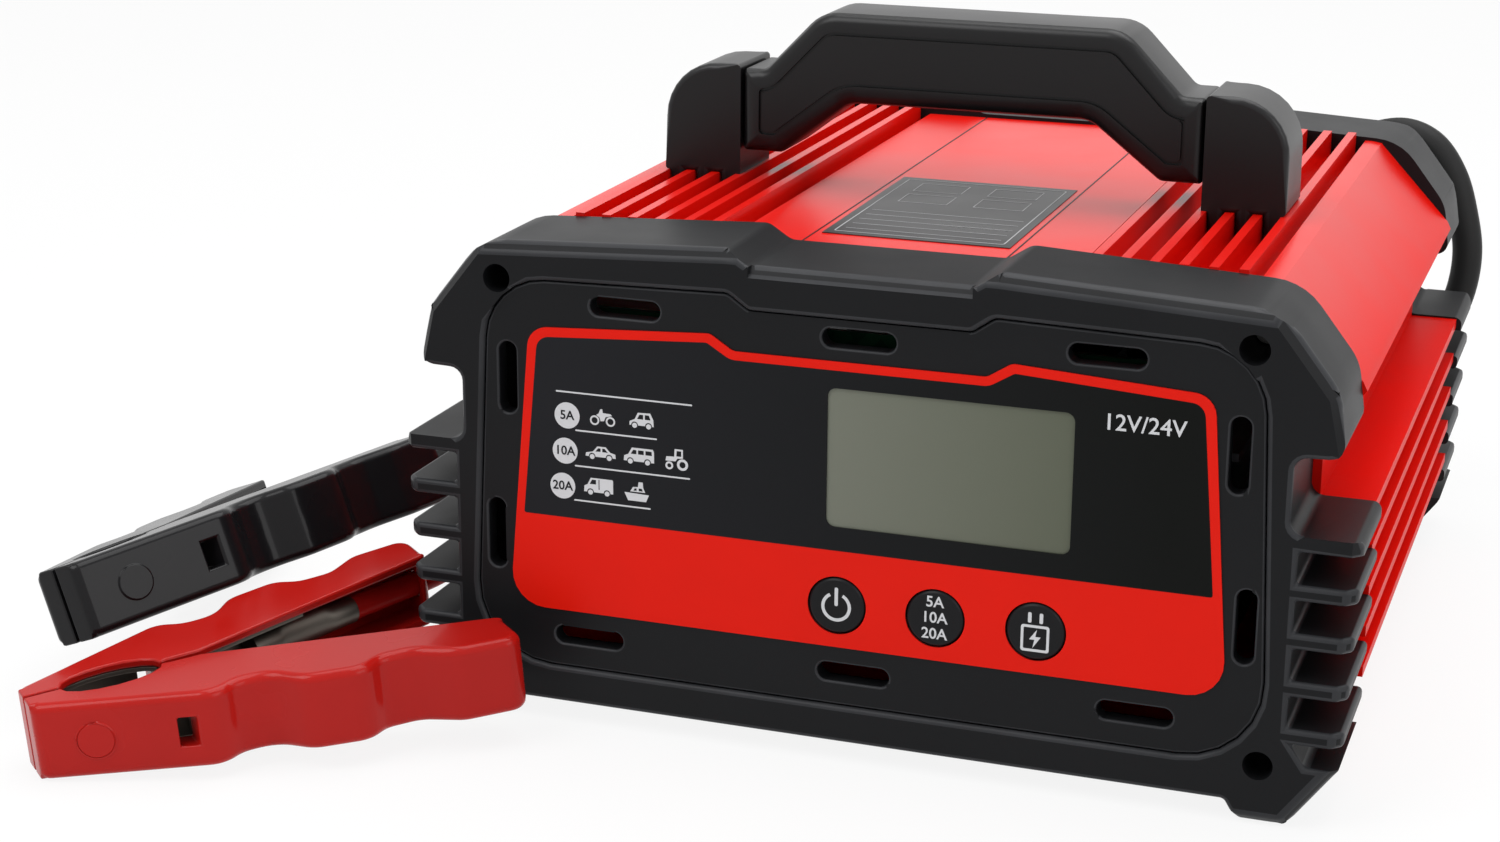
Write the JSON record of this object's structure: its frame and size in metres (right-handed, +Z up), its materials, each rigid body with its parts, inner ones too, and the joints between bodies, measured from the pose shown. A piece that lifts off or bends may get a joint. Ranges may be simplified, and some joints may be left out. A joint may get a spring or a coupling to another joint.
{
  "type": "car battery charger",
  "caption": "Portable car battery charger: finned red metal case between dark plastic end bezels, folding handle, display panel with buttons, rear fan, output lead with spring clamps.",
  "frame": {"origin": "on the table under the middle of the case", "axes": "+X to the right seen from the front panel, +Y from the front panel to the rear panel, +Z up"},
  "size_m": [0.3151, 0.4279, 0.1575],
  "materials": {
    "red_paint": "bright red powder coat, satin",
    "charcoal": "fine grained charcoal plastic",
    "label_print": "printed film, red with a black field",
    "lens": "clear lens over a grey-green display",
    "display": "moulded display housing",
    "button_black": "smooth black caps with a pale ring",
    "zinc": "zinc plated",
    "board_green": "green solder mask",
    "core_iron": "varnished core",
    "copper_tape": "yellow winding tape",
    "capacitor_sleeve": "dark blue sleeve",
    "bare_aluminium": "extruded, bare",
    "fan_black": "black moulding",
    "wire_chrome": "bright wire",
    "pin_brass": "plain pins",
    "cord_rubber": "matt black sheath",
    "handle_black": "satin black plastic",
    "sticker": "bare dark film",
    "strap": "black hook and loop strap",
    "red_lead": "red sheath",
    "black_lead": "black sheath",
    "red_gloss": "glossy red moulding",
    "black_gloss": "glossy black moulding",
    "jaw_steel": "plated spring steel"
  },
  "bodies": {
    "charger": {"body_shell": "red_paint", "front_bezel": "charcoal", "rear_bezel": "charcoal", "front_panel": "charcoal", "front_label": "label_print", "lcd_window": "lens", "lcd_module": "display", "tact_switches": "zinc", "control_board": "board_green", "control_board_screws": "zinc", "main_board": "board_green", "main_board_standoffs": "zinc", "main_board_screws": "zinc", "transformer_core": "core_iron", "transformer_winding": "copper_tape", "capacitors": "capacitor_sleeve", "heat_sinks": "bare_aluminium", "rear_panel": "charcoal", "fan_frame": "fan_black", "fan_guard": "wire_chrome", "fan_screws": "zinc", "mains_inlet": "fan_black", "inlet_pins": "pin_brass", "cable_gland": "cord_rubber", "handle_left_block": "handle_black", "handle_right_block": "handle_black", "handle_pivots": "zinc", "handle_screws": "zinc", "front_screws": "zinc", "rear_screws": "zinc", "top_sticker": "sticker", "output_cord": "cord_rubber", "cord_coil": "cord_rubber", "cord_tie": "strap", "tail_cord": "cord_rubber", "split_boot": "cord_rubber", "red_lead": "red_lead", "black_lead": "black_lead", "red_clamp_base_cover": "red_gloss", "red_clamp_base_jaw": "jaw_steel", "red_clamp_pin": "jaw_steel", "red_clamp_spring": "jaw_steel", "black_clamp_base_cover": "black_gloss", "black_clamp_base_jaw": "jaw_steel", "black_clamp_pin": "jaw_steel", "black_clamp_spring": "jaw_steel"},
    "handle": {"handle_grip": "handle_black"},
    "start_key": {"start_button": "button_black"},
    "current_key": {"current_button": "button_black"},
    "repair_key": {"repair_button": "button_black"},
    "fan": {"fan_rotor": "fan_black"},
    "red_lever": {"red_clamp_lever_cover": "red_gloss", "red_clamp_lever_jaw": "jaw_steel"},
    "black_lever": {"black_clamp_lever_cover": "black_gloss", "black_clamp_lever_jaw": "jaw_steel"}
  },
  "joints": [
    {"name": "handle_fold", "type": "hinge", "parent": "charger", "child": "handle", "pos_m": [0, -0.018, 0.132], "axis": [1, 0, 0], "range_deg": [-90, 90]},
    {"name": "start_press", "type": "slide", "parent": "charger", "child": "start_key", "axis": [0, 1, 0], "range_m": [0, 0.0008], "stiffness_N_per_m": 2500, "springref_m": -0.0002},
    {"name": "current_press", "type": "slide", "parent": "charger", "child": "current_key", "axis": [0, 1, 0], "range_m": [0, 0.0008], "stiffness_N_per_m": 2500, "springref_m": -0.0002},
    {"name": "repair_press", "type": "slide", "parent": "charger", "child": "repair_key", "axis": [0, 1, 0], "range_m": [0, 0.0008], "stiffness_N_per_m": 2500, "springref_m": -0.0002},
    {"name": "fan_spin", "type": "hinge", "parent": "charger", "child": "fan", "pos_m": [-0.038, 0.104, 0.06], "axis": [0, 1, 0], "continuous": true},
    {"name": "red_squeeze", "type": "hinge", "parent": "charger", "child": "red_lever", "pos_m": [-0.14624, -0.15592, 0.01264], "axis": [-0.0589, -0.0643, 0.9962], "range_deg": [0, 6], "stiffness_Nm_per_rad": 2, "springref_deg": -28.65, "deforming": ["red_clamp_spring"]},
    {"name": "black_squeeze", "type": "hinge", "parent": "charger", "child": "black_lever", "pos_m": [-0.17698, -0.11197, 0.0255], "axis": [0.3663, -0.081, -0.927], "range_deg": [0, 24], "stiffness_Nm_per_rad": 2, "springref_deg": -28.65, "deforming": ["black_clamp_spring"]}
  ]
}
